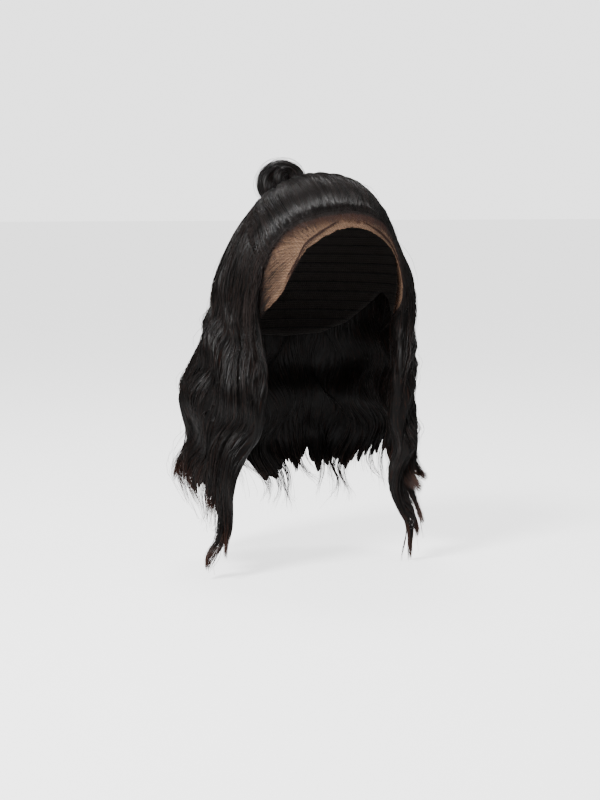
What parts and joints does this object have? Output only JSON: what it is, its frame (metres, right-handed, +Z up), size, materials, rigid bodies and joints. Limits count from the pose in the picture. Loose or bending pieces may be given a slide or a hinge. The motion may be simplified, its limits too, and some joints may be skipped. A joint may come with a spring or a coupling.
{
  "type": "lace front wig",
  "caption": "Half-up body wave wig: stretch cap with a sheer lace front, swept crown hair tied in a coiled knot, and loose wavy falls in locks.",
  "frame": {"origin": "inside of the cap at the crown of the head, where the wig sits on the head", "axes": "+Z up, -Y where the wearer faces, +X the wearer's left"},
  "size_m": [0.2597, 0.2069, 0.4001],
  "materials": {
    "hair": "natural black hair, soft grey sheen, brown tips",
    "lace": "sheer tan hexagon net",
    "cap_net": "dark stretch net with sewn wefts",
    "elastic": "black covered elastic"
  },
  "bodies": {
    "root": {"lace_front": "lace", "wig_cap": "cap_net", "crown_hair": "hair", "top_knot": "hair", "hair_tie": "elastic", "right_fall": "hair", "back_right_fall": "hair", "back_left_fall": "hair", "left_fall": "hair"}
  },
  "joints": []
}
